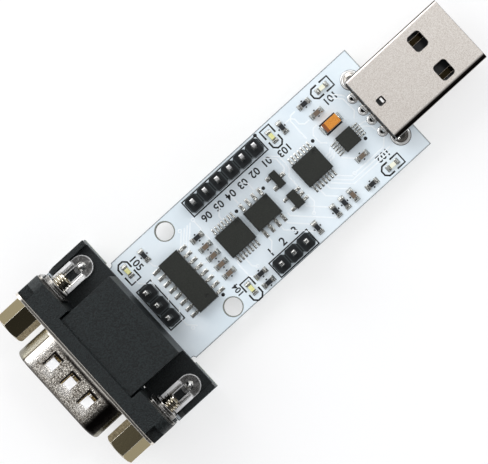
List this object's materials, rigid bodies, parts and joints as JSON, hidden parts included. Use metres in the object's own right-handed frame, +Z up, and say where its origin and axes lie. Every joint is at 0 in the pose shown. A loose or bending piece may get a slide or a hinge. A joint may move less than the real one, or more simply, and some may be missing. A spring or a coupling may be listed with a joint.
{
  "type": "usb to serial adapter module",
  "caption": "Bare T-shaped circuit board with a USB-A plug at its narrow end, a right-angle male D-shaped serial connector across its wide end, pin headers and surface-mounted parts.",
  "frame": {"origin": "middle of the bounding box's underside, on the surface that the tails under the board rest on", "axes": "+X along the board towards the USB plug, +Y across the board, +Z up out of the side with the parts"},
  "size_m": [0.0838, 0.031, 0.0158],
  "materials": {
    "board_laminate": "white solder mask, satin",
    "plug_shell_nickel": "nickel plate, fine grain",
    "nose_shell_nickel": "nickel plate, satin",
    "contact_gold": "thin gold plate",
    "black_moulding": "moulded, satin",
    "jack_screw_nickel": "nickel-plated, turned",
    "bracket_tin": "tin plate, bright",
    "header_plastic": "moulded, satin",
    "header_pin_tin": "tin plate",
    "tantalum_moulding": "moulded, darker band at one end",
    "resistor_glaze": "dark glaze on ceramic",
    "capacitor_ceramic": "fired ceramic",
    "terminal_tin": "tin plate with solder",
    "led_resin": "cloudy clear resin",
    "led_plate": "white laminate",
    "package_moulding": "moulded, fine matt"
  },
  "bodies": {
    "root": {"board_locks": "bracket_tin", "bus_driver_body": "package_moulding", "bus_driver_leads": "terminal_tin", "capacitor_bodies": "capacitor_ceramic", "capacitor_caps": "terminal_tin", "circuit_board": "board_laminate", "cross_header_pins": "header_pin_tin", "cross_header_strip": "header_plastic", "jack_screws": "jack_screw_nickel", "led_bus_base": "led_plate", "led_bus_lens": "led_resin", "led_caps": "terminal_tin", "led_logic_base": "led_plate", "led_logic_lens": "led_resin", "led_power_base": "led_plate", "led_power_lens": "led_resin", "led_serial_base": "led_plate", "led_serial_lens": "led_resin", "led_usb_base": "led_plate", "led_usb_lens": "led_resin", "left_buffer_body": "package_moulding", "left_buffer_leads": "terminal_tin", "logic_gate_body": "package_moulding", "logic_gate_leads": "terminal_tin", "long_header_pins": "header_pin_tin", "long_header_strip": "header_plastic", "resistor_bodies": "resistor_glaze", "resistor_caps": "terminal_tin", "right_buffer_body": "package_moulding", "right_buffer_leads": "terminal_tin", "serial_bracket_left": "bracket_tin", "serial_bracket_right": "bracket_tin", "serial_driver_body": "package_moulding", "serial_driver_leads": "terminal_tin", "serial_front_shell": "nose_shell_nickel", "serial_housing": "black_moulding", "serial_insulator": "black_moulding", "serial_pins": "contact_gold", "side_header_pins": "header_pin_tin", "side_header_strip": "header_plastic", "tantalum_body": "tantalum_moulding", "tantalum_terminals": "terminal_tin", "usb_bridge_body": "package_moulding", "usb_bridge_leads": "terminal_tin", "usb_contacts": "contact_gold", "usb_insulator": "black_moulding", "usb_shell": "plug_shell_nickel", "voltage_regulator_body": "package_moulding", "voltage_regulator_leads": "terminal_tin"}
  },
  "joints": []
}
